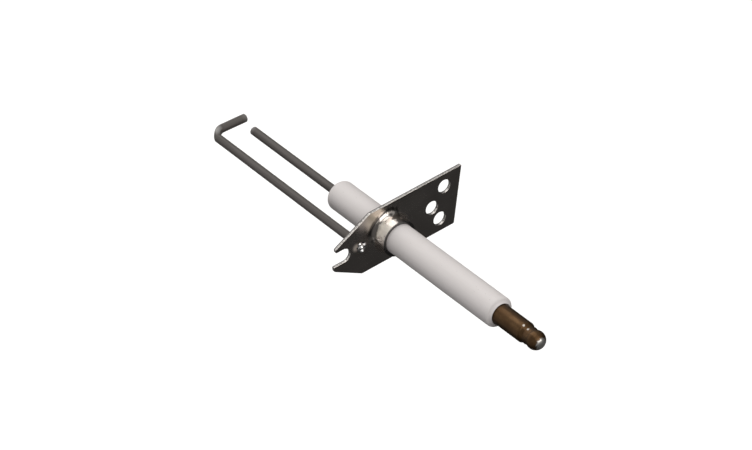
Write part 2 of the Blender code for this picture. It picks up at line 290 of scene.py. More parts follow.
def inset(ring, amount):
    """Move a closed ring of (y, z) points to its left by an amount."""
    moved = []
    for index, point in enumerate(ring):
        here = Vector(point)
        ahead = (Vector(ring[(index + 1) % len(ring)]) - here).normalized()
        behind = (here - Vector(ring[index - 1])).normalized()
        along = (ahead + behind).normalized()
        left = Vector((-along.y, along.x))
        stretch = max(along.dot(ahead), MITRE_LIMIT)
        moved.append(tuple(here + left * (amount / stretch)))
    return moved


def bridge(shape, first, second):
    """Join two closed rings of vertices by faces; a ring of one vertex is a pole."""
    count = max(len(first), len(second))
    made = []
    for index in range(count):
        after = (index + 1) % count
        corners = [first[index % len(first)], first[after % len(first)]]
        corners += [second[after % len(second)], second[index % len(second)]]
        unique = list(dict.fromkeys(corners))
        made.append(shape.faces.new(unique))
    return made


def fill(shape, rings):
    """Fill the flat region that closed rings of vertices bound."""
    edges = []
    for ring in rings:
        for index, vertex in enumerate(ring):
            edges.append(shape.edges.get((ring[index - 1], vertex)))
    bmesh.ops.triangle_fill(shape, use_beauty=True, use_dissolve=False, edges=edges)


def to_piece(name, shape, sharp_degrees=40.0):
    """Turn a bmesh into an object, smooth except over edges sharper than an angle."""
    bmesh.ops.recalc_face_normals(shape, faces=shape.faces)
    mesh = bpy.data.meshes.new(name)
    shape.to_mesh(mesh)
    shape.free()
    mesh.shade_smooth()
    mesh.set_sharp_from_angle(angle=math.radians(sharp_degrees))
    piece = bpy.data.objects.new(name, mesh)
    bpy.context.scene.collection.objects.link(piece)
    return piece


def revolve(shape, profile, steps):
    """Add a ring of vertices round the X axis for each (x, radius) point of a profile."""
    rings = []
    for along, radius in profile:
        if radius == 0.0:
            rings.append([shape.verts.new((along, 0.0, 0.0))])
            continue
        ring = []
        for step in range(steps):
            angle = 2.0 * math.pi * step / steps
            across = radius * math.cos(angle)
            up = radius * math.sin(angle)
            ring.append(shape.verts.new((along, across, up)))
        rings.append(ring)
    return rings


def turned(profile, steps, closed=False):
    """A bmesh of a turned piece; a closed one joins its last ring to its first."""
    shape = bmesh.new()
    rings = revolve(shape, profile, steps)
    for first, second in zip(rings, rings[1:]):
        bridge(shape, first, second)
    if closed:
        bridge(shape, rings[-1], rings[0])
    return shape


def roughen(shape, amount, size, seed, keep=None):
    """Push vertices along their normals by smooth noise; those that keep() picks stay."""
    shape.normal_update()
    offset = Vector((seed * 7.3, seed * 3.1, seed * 5.7))
    for vertex in shape.verts:
        if keep is not None and keep(vertex.co):
            continue
        height = noise.noise(vertex.co / size + offset)
        vertex.co += vertex.normal * (amount * height)


# ---------------------------------------------------------------- material helpers

class Surface:
    """A Principled material, with short calls that add nodes and link them."""

    def __init__(self, name, metallic):
        self.material = bpy.data.materials.new(name)
        self.material.use_nodes = True
        self.nodes = self.material.node_tree.nodes
        self.links = self.material.node_tree.links
        self.shader = self.nodes["Principled BSDF"]
        self.set("Metallic", metallic)
        self.position = self.nodes.new("ShaderNodeTexCoord").outputs["Object"]

    def feed(self, socket, value):
        """Give a socket a number or colour, or link an output to it."""
        if isinstance(value, bpy.types.NodeSocket):
            self.links.new(value, socket)
        else:
            socket.default_value = value

    def set(self, name, value):
        """Feed one of the shader's own sockets."""
        self.feed(self.shader.inputs[name], value)

    def attribute(self, name, output="Fac"):
        """Read a value that is stored on the mesh's vertices."""
        node = self.nodes.new("ShaderNodeAttribute")
        node.attribute_name = name
        return node.outputs[output]

    def stretched(self, vector, per_mm):
        """A position in millimetres, multiplied by a factor for each axis."""
        node = self.nodes.new("ShaderNodeVectorMath")
        node.operation = "MULTIPLY"
        self.feed(node.inputs[0], vector)
        node.inputs[1].default_value = [MM_PER_METRE * factor for factor in per_mm]
        return node.outputs[0]

    def noise(self, per_mm, detail=3.0, roughness=0.55, distortion=0.0, vector=None):
        """Noise of 0 to 1 whose features have per_mm cycles to the millimetre on each axis."""
        node = self.nodes.new("ShaderNodeTexNoise")
        node.inputs["Scale"].default_value = 1.0
        node.inputs["Detail"].default_value = detail
        node.inputs["Roughness"].default_value = roughness
        node.inputs["Distortion"].default_value = distortion
        position = self.stretched(vector or self.position, per_mm)
        self.feed(node.inputs["Vector"], position)
        return node.outputs[0]

    def cells(self, per_mm):
        """Distance to the nearest of scattered points, in cells."""
        node = self.nodes.new("ShaderNodeTexVoronoi")
        node.inputs["Scale"].default_value = 1.0
        self.feed(node.inputs["Vector"], self.stretched(self.position, per_mm))
        return node.outputs["Distance"]

    def math(self, operation, first, second=0.0):
        """One Math node."""
        node = self.nodes.new("ShaderNodeMath")
        node.operation = operation
        self.feed(node.inputs[0], first)
        self.feed(node.inputs[1], second)
        return node.outputs[0]

    def span(self, value, low, high, start=0.0, end=1.0):
        """Map low..high to start..end smoothly, held at the ends; low may be the larger."""
        node = self.nodes.new("ShaderNodeMapRange")
        node.interpolation_type = "SMOOTHSTEP"
        self.feed(node.inputs["Value"], value)
        node.inputs["From Min"].default_value = low
        node.inputs["From Max"].default_value = high
        node.inputs["To Min"].default_value = start
        node.inputs["To Max"].default_value = end
        return node.outputs["Result"]

    def blend(self, share, first, second):
        """Blend two colours."""
        node = self.nodes.new("ShaderNodeMix")
        node.data_type = "RGBA"
        self.feed(node.inputs[0], share)
        for socket, colour in ((node.inputs[6], first), (node.inputs[7], second)):
            linked = isinstance(colour, bpy.types.NodeSocket)
            self.feed(socket, colour if linked else (*colour, 1.0))
        return node.outputs[2]

    def mixed(self, share, first, second):
        """Blend two numbers."""
        node = self.nodes.new("ShaderNodeMix")
        self.feed(node.inputs[0], share)
        self.feed(node.inputs[2], first)
        self.feed(node.inputs[3], second)
        return node.outputs[0]

    def axis(self, name):
        """One coordinate of the position, in metres."""
        node = self.nodes.new("ShaderNodeSeparateXYZ")
        self.feed(node.inputs[0], self.position)
        return node.outputs[name]

    def distance(self, centre):
        """Distance from a point, in metres."""
        node = self.nodes.new("ShaderNodeVectorMath")
        node.operation = "DISTANCE"
        self.feed(node.inputs[0], self.position)
        node.inputs[1].default_value = centre
        return node.outputs["Value"]

    def radius(self, centre=(0.0, 0.0)):
        """Distance from a line along X through (y, z), in metres."""
        flat = self.nodes.new("ShaderNodeVectorMath")
        flat.operation = "MULTIPLY"
        self.feed(flat.inputs[0], self.position)
        flat.inputs[1].default_value = (0.0, 1.0, 1.0)
        node = self.nodes.new("ShaderNodeVectorMath")
        node.operation = "DISTANCE"
        self.feed(node.inputs[0], flat.outputs[0])
        node.inputs[1].default_value = (0.0, centre[0], centre[1])
        return node.outputs["Value"]

    def bump(self, height, depth, below=None):
        """Bump of a height of 0 to 1 over a depth in metres, on top of another bump."""
        node = self.nodes.new("ShaderNodeBump")
        node.inputs["Strength"].default_value = 1.0
        node.inputs["Distance"].default_value = depth
        self.feed(node.inputs["Height"], height)
        if below is not None:
            self.feed(node.inputs["Normal"], below)
        return node.outputs["Normal"]


# ---------------------------------------------------------------- materials

# Colours in linear light; a pair holds the two ends between which a colour wanders
STEEL_BODY = ((0.70, 0.63, 0.58), (0.83, 0.76, 0.71))
STEEL_STREAK = (0.50, 0.47, 0.44)
STEEL_HEATED = (0.50, 0.43, 0.36)
# Colour of the painted shade on the plate by the collar
STEEL_DISH_SHADE = (0.34, 0.305, 0.265)
# Colour of the painted shade round the collar
STEEL_SHADE = (0.10, 0.09, 0.08)
STEEL_ROLLOVER = (0.80, 0.78, 0.76)
# Pale colour of the painted highlight on the collar's wall
WALL_HIGHLIGHT_PAINT = (0.92, 0.86, 0.76)
EDGE_BURNISHED = ((0.60, 0.58, 0.56), (0.17, 0.16, 0.15))
EDGE_TORN = ((0.10, 0.095, 0.09), (0.20, 0.19, 0.18))
EDGE_RIM = (0.16, 0.155, 0.15)
ALUMINA_BODY = ((0.680, 0.642, 0.632), (0.722, 0.683, 0.674))
ALUMINA_LINE = (0.60, 0.565, 0.545)
ALUMINA_GRAIN = (0.60, 0.56, 0.535)
ALUMINA_SPECK = (0.30, 0.27, 0.24)
ALUMINA_RUB = (0.36, 0.35, 0.34)
ALLOY_SKIN = ((0.082, 0.072, 0.066), (0.112, 0.099, 0.091))
ALLOY_LINE = (0.060, 0.052, 0.047)
ALLOY_NICK = (0.32, 0.30, 0.28)
ALLOY_BARE = (0.34, 0.33, 0.32)
WELD_BRIGHT = (0.80, 0.79, 0.78)
WELD_SLAG = (0.20, 0.18, 0.17)
BRASS_TARNISH = ((0.082, 0.043, 0.018), (0.114, 0.064, 0.028))
BRASS_LINE = (0.056, 0.032, 0.016)
BRASS_SPOT = (0.040, 0.025, 0.015)
# Colour of the worn tip and of the painted glints
BRASS_WORN_AND_GLINT = (0.74, 0.72, 0.68)
CEMENT_BODY = ((0.56, 0.52, 0.46), (0.68, 0.64, 0.58))
CEMENT_GRIT = (0.40, 0.36, 0.31)
PAPER = ((0.88, 0.88, 0.88), (0.9, 0.9, 0.9))


def bracket_steel():
    """Bright rolled steel: lines along the plate, draw ridges and weld heat, with painted shade
    round the collar and on the plate by it, and a pale painted highlight on the collar's wall.
    """
    steel = Surface("bracket_steel", metallic=1.0)
    clouds = steel.noise((0.12, 0.12, 0.12), detail=4.0)
    lines = steel.noise((0.6, 0.05, 7.0), detail=2.0)
    ridges = steel.noise((0.4, 3.2, 3.2), detail=2.0)
    drawn = steel.span(steel.radius(), *DRAW_REACH)
    pattern = steel.mixed(drawn, lines, ridges)
    heat = steel.span(steel.radius((GROUND_Y, 0.0)), *HEAT_REACH)
    wall_highlight = painted_wall_highlight(steel)
    front = steel.span(steel.axis("X"), *FRONT_FACE)
    dished = steel.math("MULTIPLY", front, painted_dish_shade(steel))
    shade = steel.math("MULTIPLY", front, painted_collar_shade(steel))
    colour = steel.blend(clouds, *STEEL_BODY)
    colour = steel.blend(steel.span(pattern, 0.35, 0.65, end=0.25), colour, STEEL_STREAK)
    colour = steel.blend(steel.math("MULTIPLY", heat, 0.5), colour, STEEL_HEATED)
    # Painted shade on the plate's front face between the collar and the upper edge
    colour = steel.blend(dished, colour, STEEL_DISH_SHADE)
    # Painted shade: dark in the collar's fillet and over its top
    colour = steel.blend(shade, colour, STEEL_SHADE)
    # Painted highlight on the collar's wall, made less metallic and rougher there
    colour = steel.blend(wall_highlight, colour, WALL_HIGHLIGHT_PAINT)
    steel.set("Base Color", steel.blend(steel.attribute("edge"), colour, STEEL_ROLLOVER))
    steel.set("Metallic", steel.math("SUBTRACT", 1.0, steel.math("MULTIPLY", wall_highlight, 0.75)))
    frost = steel.span(steel.distance(FROST_PLACE), *FROST_REACH)
    cloudy = steel.span(clouds, 0.3, 0.7, 0.16, 0.24)
    heated = steel.math("ADD", cloudy, steel.math("MULTIPLY", heat, 0.08))
    frosted = steel.math("ADD", heated, steel.math("MULTIPLY", frost, 0.45))
    steel.set("Roughness", steel.mixed(wall_highlight, frosted, 0.55))
    rolled = steel.bump(pattern, depth=0.0012 * MM)
    uneven = steel.bump(clouds, depth=0.03 * MM, below=rolled)
    dent = steel.span(steel.distance(DENT_PLACE), *DENT_EDGE)
    steel.set("Normal", steel.bump(dent, DENT_DEPTH, uneven))
    return steel.material


def sector(surface, limits, waver):
    """1 inside a sector round the tube, with an edge that wavers by an angle in radians."""
    middle, full, none = (math.radians(limit) for limit in limits)
    across = surface.math("MULTIPLY", surface.axis("Y"), -1.0)
    angle = surface.math("ARCTAN2", across, surface.axis("Z"))
    aside = surface.math("ABSOLUTE", surface.math("SUBTRACT", angle, middle))
    return surface.span(surface.math("ADD", aside, waver), none, full)


def painted_wall_highlight(steel):
    """Painted highlight: a pale, rough, blotchy patch on the collar's wall, on its upper side by
    the ground rod.
    """
    blots = steel.noise((0.55, 0.55, 0.55), detail=3.0)
    waver = steel.span(blots, 0.3, 0.7, -0.22, 0.22)
    around = sector(steel, WALL_HIGHLIGHT_SECTOR, waver)
    along = steel.math("ADD", steel.axis("X"), steel.math("MULTIPLY", waver, 1.5 * MM))
    on_wall = steel.span(along, *WALL_HIGHLIGHT_FOOT)
    share = steel.math("MULTIPLY", around, on_wall)
    return steel.math("MULTIPLY", share, steel.span(blots, 0.25, 0.6, 1.0, 0.65))


def painted_dish_shade(steel):
    """Painted shade that dims the plate's reflection between the collar and the plate's upper
    edge.
    """
    around = sector(steel, DISH_SHADE_SECTOR, 0.0)
    outward = steel.span(steel.radius(), *DRAW_REACH, 0.9, 0.25)
    return steel.math("MULTIPLY", around, outward)


def painted_collar_shade(steel):
    """Painted shade: dark in the collar's fillet by the ground rod, and up the collar's top."""
    blots = steel.noise((0.5, 0.5, 0.5), detail=2.0)
    waver = steel.span(blots, 0.3, 0.7, -0.2, 0.2)
    low = steel.span(steel.axis("X"), *SHADE_TOP)
    near = steel.span(steel.radius(), *SHADE_REACH)
    around = sector(steel, FILLET_SECTOR, waver)
    in_fillet = steel.math("MULTIPLY", around, steel.math("MULTIPLY", low, near))
    # Painted shade over the collar's top
    top_shade = steel.math("MULTIPLY", sector(steel, TOP_SHADE_SECTOR, waver), near)
    return steel.math("MULTIPLY", steel.math("MAXIMUM", in_fillet, top_shade), 0.9)


def cut_edge():
    """Cut metal: a scored, burnished zone in front of a dull, torn one, and a dark collar rim."""
    edge = Surface("cut_edge", metallic=1.0)
    torn = torn_zone(edge)
    scores = edge.noise((0.25, 3.2, 3.2), detail=2.0)
    grit = edge.noise((6.0, 6.0, 6.0), detail=3.0)
    burnished = edge.blend(edge.span(scores, 0.42, 0.62), *EDGE_BURNISHED)
    dull = edge.blend(edge.span(grit, 0.4, 0.6), *EDGE_TORN)
    on_rim = edge.span(edge.axis("X"), COLLAR_RIM - 0.4 * MM, COLLAR_RIM - 0.2 * MM)
    bright = edge.blend(on_rim, burnished, EDGE_RIM)
    edge.set("Base Color", edge.blend(torn, bright, dull))
    edge.set("Roughness", edge.mixed(torn, edge.span(scores, 0.3, 0.7, 0.24, 0.40), 0.55))
    scored = edge.bump(scores, depth=0.02 * MM)
    rough = edge.math("MULTIPLY", grit, torn)
    edge.set("Normal", edge.bump(rough, depth=0.03 * MM, below=scored))
    return edge.material


def torn_zone(edge):
    """1 on the torn zone near the plate's spark-side face, 0 on the burnished zone."""
    waver = edge.noise((0.0, 0.8, 0.8), detail=2.0)
    limit = edge.span(waver, 0.0, 1.0, -0.12 * MM, 0.12 * MM)
    height = edge.math("ADD", edge.axis("X"), limit)
    return edge.span(height, BROKEN_HEIGHT + 0.04 * MM, BROKEN_HEIGHT - 0.04 * MM)


def alumina():
    """Fired, unglazed alumina: fine grain, faint lines along the tube, specks and rub marks."""
    ceramic = Surface("alumina", metallic=0.0)
    clouds = ceramic.noise((0.05, 0.14, 0.14), detail=4.0)
    lines = ceramic.noise((0.02, 2.2, 2.2), detail=3.0)
    grain = ceramic.noise((5.0, 5.0, 5.0), detail=4.0, roughness=0.65)
    specks = ceramic.span(ceramic.cells((0.55, 0.55, 0.55)), 0.085, 0.055)
    colour = ceramic.blend(clouds, *ALUMINA_BODY)
    colour = ceramic.blend(ceramic.span(lines, 0.5, 0.75, end=0.12), colour, ALUMINA_LINE)
    colour = ceramic.blend(ceramic.span(grain, 0.55, 0.8, end=0.25), colour, ALUMINA_GRAIN)
    colour = ceramic.blend(ceramic.math("MULTIPLY", specks, 0.35), colour, ALUMINA_SPECK)
    ceramic.set("Base Color", ceramic.blend(rub_marks(ceramic), colour, ALUMINA_RUB))
    ceramic.set("Roughness", ceramic.span(grain, 0.3, 0.7, 0.42, 0.58))
    ceramic.set("Specular IOR Level", 0.4)
    grained = ceramic.bump(grain, depth=0.012 * MM)
    ceramic.set("Normal", ceramic.bump(lines, depth=0.01 * MM, below=grained))
    return ceramic.material


def rub_marks(ceramic):
    """Grey metal marks just outside the collar, where the tube was pushed through it."""
    fading = ceramic.span(ceramic.axis("X"), *RUB_REACH)
    streaks = ceramic.noise((0.25, 1.6, 1.6), detail=3.0)
    share = ceramic.math("MULTIPLY", fading, ceramic.span(streaks, 0.55, 0.75))
    outside = ceramic.span(ceramic.axis("X"), COLLAR_RIM - 0.2 * MM, COLLAR_RIM)
    return ceramic.math("MULTIPLY", ceramic.math("MULTIPLY", share, outside), 0.35)


def electrode_alloy(name):
    """Heat-resistant wire with a dull oxide skin, drawn lines and small bright nicks."""
    alloy = Surface(name, metallic=0.12)
    along = alloy.attribute("drawn", "Vector")
    lines = alloy.noise((0.05, 3.0, 3.0), detail=3.0, vector=along)
    patches = alloy.noise((0.12, 0.5, 0.5), detail=4.0, vector=along)
    pits = alloy.noise((4.0, 4.0, 4.0), detail=3.0)
    nicks = alloy.math("MULTIPLY", alloy.span(pits, 0.66, 0.74), alloy.span(lines, 0.45, 0.6))
    colour = alloy.blend(patches, *ALLOY_SKIN)
    colour = alloy.blend(alloy.span(lines, 0.4, 0.66, end=0.6), colour, ALLOY_LINE)
    colour = alloy.blend(alloy.math("MULTIPLY", nicks, 0.5), colour, ALLOY_NICK)
    alloy.set("Base Color", alloy.blend(alloy.attribute("edge"), colour, ALLOY_BARE))
    alloy.set("Roughness", alloy.span(patches, 0.3, 0.7, 0.52, 0.64))
    alloy.set("Specular IOR Level", 0.5)
    scored = alloy.bump(lines, depth=0.008 * MM)
    alloy.set("Normal", alloy.bump(pits, depth=0.008 * MM, below=scored))
    return alloy.material


def weld_metal():
    """Bright solidified metal with ripples and a few dark slag spots."""
    metal = Surface("weld_metal", metallic=1.0)
    ripples = metal.noise((1.6, 1.6, 1.6), detail=3.0, distortion=0.6)
    slag = metal.span(metal.noise((0.9, 0.9, 0.9), detail=2.0), 0.58, 0.68)
    metal.set("Base Color", metal.blend(slag, WELD_BRIGHT, WELD_SLAG))
    metal.set("Roughness", metal.mixed(slag, metal.span(ripples, 0.3, 0.7, 0.12, 0.26), 0.5))
    metal.set("Normal", metal.bump(ripples, depth=0.03 * MM))
    return metal.material


def terminal_brass():
    """Turned brass darkened to brown, with tool lines, a tip worn silver grey and two painted
    glints of that grey on the shoulder and the neck.
    """
    brass = Surface("terminal_brass", metallic=0.9)
    tool = brass.noise((6.0, 0.0, 0.0), detail=2.0)
    stains = brass.noise((0.35, 0.6, 0.6), detail=5.0)
    fine = brass.noise((3.0, 3.0, 3.0), detail=3.0)
    colour = brass.blend(brass.span(stains, 0.3, 0.7), *BRASS_TARNISH)
    colour = brass.blend(brass.span(tool, 0.4, 0.7, end=0.35), colour, BRASS_LINE)
    colour = brass.blend(brass.span(fine, 0.6, 0.75, end=0.4), colour, BRASS_SPOT)
    rubbed = brass.math("ADD", brass.attribute("edge"), brass.span(fine, 0.3, 0.7, -0.2, 0.2))
    worn = brass.span(rubbed, 0.30, 0.85)
    # The worn mask also carries two painted glints on the shoulder and the neck
    for place in GLINT_PLACES:
        glint = brass.span(brass.distance(place), *GLINT_REACH, end=0.6)
        worn = brass.math("MAXIMUM", worn, glint)
    brass.set("Base Color", brass.blend(worn, colour, BRASS_WORN_AND_GLINT))
    brass.set("Roughness", brass.mixed(worn, brass.span(stains, 0.3, 0.7, 0.42, 0.32), 0.28))
    cut = brass.bump(tool, depth=0.006 * MM)
    brass.set("Normal", brass.bump(fine, depth=0.006 * MM, below=cut))
    return brass.material


def cement():
    """Dried refractory cement: matte, sandy, slightly uneven in colour."""
    paste = Surface("cement", metallic=0.0)
    sand = paste.noise((4.0, 4.0, 4.0), detail=4.0, roughness=0.7)
    patches = paste.noise((0.5, 0.5, 0.5), detail=3.0)
    body = paste.blend(patches, *CEMENT_BODY)
    gritty = paste.span(sand, 0.5, 0.75, end=0.5)
    paste.set("Base Color", paste.blend(gritty, body, CEMENT_GRIT))
    paste.set("Roughness", paste.span(sand, 0.3, 0.7, 0.82, 0.95))
    paste.set("Normal", paste.bump(sand, depth=0.05 * MM))
    return paste.material


# ---------------------------------------------------------------- bracket

# Indices of the bracket's two materials, and the rings of a cut edge that are worn bright
PLATE_FINISH = 0
CUT_FINISH = 1
WORN_RINGS = slice(1, 4)


def plate_outline():
    """Outline of the bracket in (y, z), with a prong on each side of an open, round notch."""
    half = HALF_HEIGHT
    notch = NOTCH_HALF_WIDTH
    square = rounded((
        ((SLANT_TOP_Y, half), SLANT_TOP_ROUND),
        ((UPPER_TAPER_Y, half), TAPER_ROUND),
        (UPPER_PRONG_TIP, UPPER_PRONG_ROUND),
        ((UPPER_PRONG_TIP[0], notch), NOTCH_MOUTH_ROUND),
        ((NOTCH_CENTRE_Y, notch), 0.0),
        ((NOTCH_CENTRE_Y, -notch), 0.0),
        ((LOWER_PRONG_TIP[0], -notch), NOTCH_MOUTH_ROUND),
        (LOWER_PRONG_TIP, LOWER_PRONG_ROUND),
        ((LOWER_TAPER_Y, -half), TAPER_ROUND),
        ((SLANT_BOTTOM_Y, -half), SLANT_BOTTOM_ROUND),
    ))
    start = square.index((NOTCH_CENTRE_Y, notch))
    root = arc((NOTCH_CENTRE_Y, 0.0), notch, 90.0, -90.0, NOTCH_STEPS)
    return square[:start] + root + square[start + 2:]


def hole_outline(centre, radius):
    """A hole's ring of points, with the metal on its left."""
    return arc(centre, radius, 360.0, 0.0, HOLE_STEPS)[:-1]


def sheared_edge(shape, outline):
    """Wall of a cut edge, rounded in front and broken behind; returns its rings, front first."""
    roll = arc((ROLLOVER, PLATE_THICKNESS - ROLLOVER), ROLLOVER, 90.0, 180.0, steps=5)
    rings = []
    for depth, along in roll + list(BROKEN_EDGE):
        ring = [shape.verts.new((along, across, up)) for across, up in inset(outline, depth)]
        rings.append(ring)
    for index, (first, second) in enumerate(zip(rings, rings[1:])):
        finish = PLATE_FINISH if index < len(roll) - 2 else CUT_FINISH
        for face in bridge(shape, first, second):
            face.material_index = finish
    return rings


def collar_profile():
    """Collar from the foot of its fillet, over the rim and down the bore to the spark side."""
    fillet_centre = (COLLAR_FOOT, COLLAR_FOOT_RADIUS + COLLAR_FILLET)
    fillet = arc(fillet_centre, COLLAR_FILLET, 180.0, 270.0, steps=14)
    lip_centre = (COLLAR_RIM - COLLAR_LIP, COLLAR_RIM_RADIUS - COLLAR_LIP)
    lip = arc(lip_centre, COLLAR_LIP, 90.0, 0.0, steps=6)
    wall = line(fillet[-1], lip[0], steps=5)
    mouth_centre = (COLLAR_RIM - COLLAR_MOUTH, COLLAR_BORE + COLLAR_MOUTH)
    mouth = arc(mouth_centre, COLLAR_MOUTH, 0.0, -90.0, steps=4)
    funnel = arc(COLLAR_DRAW_CENTRE, COLLAR_DRAW_RADIUS, 270.0, 180.0, steps=16)
    return fillet + wall + lip + mouth + funnel


def make_bracket():
    """The stamped plate with its holes, notch, prongs and drawn collar, as one sheet."""
    shape = bmesh.new()
    wear = shape.verts.layers.float.new("edge")
    outlines = [plate_outline()]
    outlines += [hole_outline(centre, HOLE_RADIUS) for centre in HOLES]
    outlines.append(hole_outline((GROUND_Y, 0.0), ROD_HOLE_RADIUS))
    front_rings = []
    back_rings = []
    for outline in outlines:
        rings = sheared_edge(shape, outline)
        front_rings.append(rings[0])
        back_rings.append(rings[-1])
        for ring in rings[WORN_RINGS]:
            for vertex in ring:
                vertex[wear] = ROLLOVER_WEAR
    collar = revolve(shape, collar_profile(), TUBE_STEPS)
    for first, second in zip(collar, collar[1:]):
        on_rim = min(first[0].co.x, second[0].co.x) > COLLAR_RIM - 0.05 * MM
        for face in bridge(shape, first, second):
            face.material_index = CUT_FINISH if on_rim else PLATE_FINISH
    fill(shape, front_rings + [collar[0]])
    fill(shape, back_rings + [collar[-1]])
    piece = to_piece("stamped_bracket", shape, sharp_degrees=60.0)
    piece.data.materials.append(bracket_steel())
    piece.data.materials.append(cut_edge())
    weighted = piece.modifiers.new("flat_faces", "WEIGHTED_NORMAL")
    weighted.keep_sharp = True
    weighted.weight = 80
    return piece


# ---------------------------------------------------------------- ceramic and cement

def make_tube():
    """Ceramic tube: a round nose, a crown at the rear, a through bore and two cement pockets."""
    edge = TUBE_EDGE
    front = TUBE_LOW.x
    crown = TUBE_HIGH.x
    rear = crown - TUBE_CROWN
    nose = arc((front + TUBE_NOSE, TUBE_RADIUS - TUBE_NOSE), TUBE_NOSE, 90.0, 180.0, steps=16)
    tail = arc((crown - TUBE_LIP, REAR_POCKET_RADIUS + TUBE_LIP), TUBE_LIP, 0.0, 60.0, steps=4)
    tail += arc((rear - edge, TUBE_RADIUS - edge), edge, 12.0, 90.0)
    barrel = line(tail[-1], nose[0], BARREL_STEPS)
    front_floor = front + FRONT_POCKET_DEPTH
    rear_floor = rear - REAR_POCKET_DEPTH
    bore = [
        (front, FRONT_POCKET_RADIUS),
        (front_floor, FRONT_POCKET_RADIUS),
        (front_floor, BORE_RADIUS),
        (rear_floor, BORE_RADIUS),
        (rear_floor, REAR_POCKET_RADIUS),
        (crown - TUBE_LIP, REAR_POCKET_RADIUS),
    ]
    shape = turned(tail + barrel + nose + bore, TUBE_STEPS, closed=True)
    in_collar = 8.0 * MM
    roughen(shape, 0.025 * MM, size=6.0 * MM, seed=1, keep=lambda co: abs(co.x) < in_collar)
    return to_piece("ceramic_tube", shape)


def make_front_cement():
    """Plug of cement round the spark rod, dished where it has dried in the pocket."""
    outer = FRONT_POCKET_RADIUS - CEMENT_PLAY
    inner = ROD_RADIUS + CEMENT_TIGHT_PLAY
    face = TUBE_LOW.x
    floor = face + FRONT_POCKET_DEPTH - CEMENT_END_PLAY
    dish = [
        (face + 0.12 * MM, outer),
        (face + 0.3 * MM, outer - 0.25 * MM),
        (face + 0.42 * MM, (outer + inner) / 2.0),
        (face + 0.25 * MM, inner + 0.25 * MM),
        (face + 0.1 * MM, inner),
    ]
    shape = turned([(floor, inner), (floor, outer)] + dish, PLUG_STEPS, closed=True)
    hidden = face + 1.0 * MM
    roughen(shape, 0.12 * MM, size=0.7 * MM, seed=2, keep=lambda co: co.x > hidden)
    return to_piece("front_cement_plug", shape)


def make_rear_cement():
    """Sleeve of cement round the terminal's shank in the rear pocket."""
    outer = REAR_POCKET_RADIUS - CEMENT_PLAY
    inner = SHANK_RADIUS + CEMENT_PLAY
    top = PIN_BASE - CEMENT_END_PLAY
    floor = TUBE_HIGH.x - TUBE_CROWN - REAR_POCKET_DEPTH + CEMENT_END_PLAY
    profile = [(top, inner), (top, outer), (floor, outer), (floor, inner)]
    shape = turned(profile, PLUG_STEPS, closed=True)
    return to_piece("rear_cement_sleeve", shape)


def make_collar_cement():
    """Ring of cement smeared into the collar's funnel round the tube."""
    inner = TUBE_RADIUS + CEMENT_TIGHT_PLAY
    wall = arc(COLLAR_DRAW_CENTRE, COLLAR_DRAW_RADIUS + CEMENT_PLAY, 231.0, 200.0, steps=8)
    face = COLLAR_CEMENT_LOW.x + 0.12 * MM
    rise = wall[-1][1] - inner
    crown = [
        (face + 0.12 * MM, inner + rise * 0.75),
        (face, inner + rise * 0.5),
        (face, inner + rise * 0.25),
        (face + 0.1 * MM, inner),
    ]
    shape = turned([(wall[0][0], inner)] + wall + crown, TUBE_STEPS, closed=True)
    hidden = 0.35 * MM
    roughen(shape, 0.22 * MM, size=1.4 * MM, seed=3, keep=lambda co: co.x > hidden)
    return to_piece("collar_cement_ring", shape)


# ---------------------------------------------------------------- rods and weld

def between(length):
    """Even distances along a straight length of rod, without its two ends."""
    count = max(2, round(length / ROD_STATION_GAP))
    return [length * index / count for index in range(1, count)]


def swept_rod(name, route):
    """Rod swept along a route of (x, y, heading, radius, bend, distance, bare share) stations."""
    shape = bmesh.new()
    drawn = shape.verts.layers.float_vector.new("drawn")
    wear = shape.verts.layers.float.new("edge")
    rings = []
    for x, y, heading, radius, bend, distance, bare in route:
        centre = Vector((x, y, 0.0))
        side = Vector((-math.sin(heading), math.cos(heading), 0.0))
        ring = []
        for step in range(ROD_STEPS if radius > 0.0 else 1):
            angle = 2.0 * math.pi * step / ROD_STEPS
            across, up = pressed(radius * math.cos(angle), radius * math.sin(angle), bend)
            vertex = shape.verts.new(centre + side * across + Vector((0.0, 0.0, up)))
            vertex[drawn] = (distance, across, up)
            vertex[wear] = max(bare, upper_bend_lens(angle, bend))
            ring.append(vertex)
        rings.append(ring)
    for first, second in zip(rings, rings[1:]):
        bridge(shape, first, second)
    roughen(shape, ROD_GRAIN, size=2.2 * MM, seed=4)
    return to_piece(name, shape, sharp_degrees=50.0)


def pressed(across, up, bend):
    """Section of a bent rod: wider, flatter on the outside of the bend, fuller on its inside."""
    if across > 0.0:
        across *= 1.0 - bend * BEND_FLAT / ROD_RADIUS
    else:
        across *= 1.0 + bend * BEND_PINCH / ROD_RADIUS
    return across, up * (1.0 + BEND_SPREAD * bend)


def upper_bend_lens(angle, bend):
    """Share of the lighter bare colour on a bend: a lens on its upper side."""
    aside = (angle - BEND_LENS_CENTRE) / BEND_LENS_HALF_WIDTH
    return max(0.0, 1.0 - aside ** 2) ** 0.5 * bend


def end_cap(x, y, heading, distance, outward):
    """Stations for a chamfered end; outward is 1 at a route's last end and -1 at its first."""
    back = -outward * ROD_CHAMFER
    step = Vector((math.cos(heading), math.sin(heading)))
    inner_x = x + step.x * back
    inner_y = y + step.y * back
    rim_radius = ROD_RADIUS - ROD_CHAMFER
    cap = [
        (inner_x, inner_y, heading, ROD_RADIUS, 0.0, distance + back, 0.4),
        (x, y, heading, rim_radius, 0.0, distance, 1.0),
        (x, y, heading, rim_radius * 0.8, 0.0, distance, 0.5),
        (x, y, heading, 0.0, 0.0, distance, 0.4),
    ]
    return cap if outward > 0 else cap[::-1]


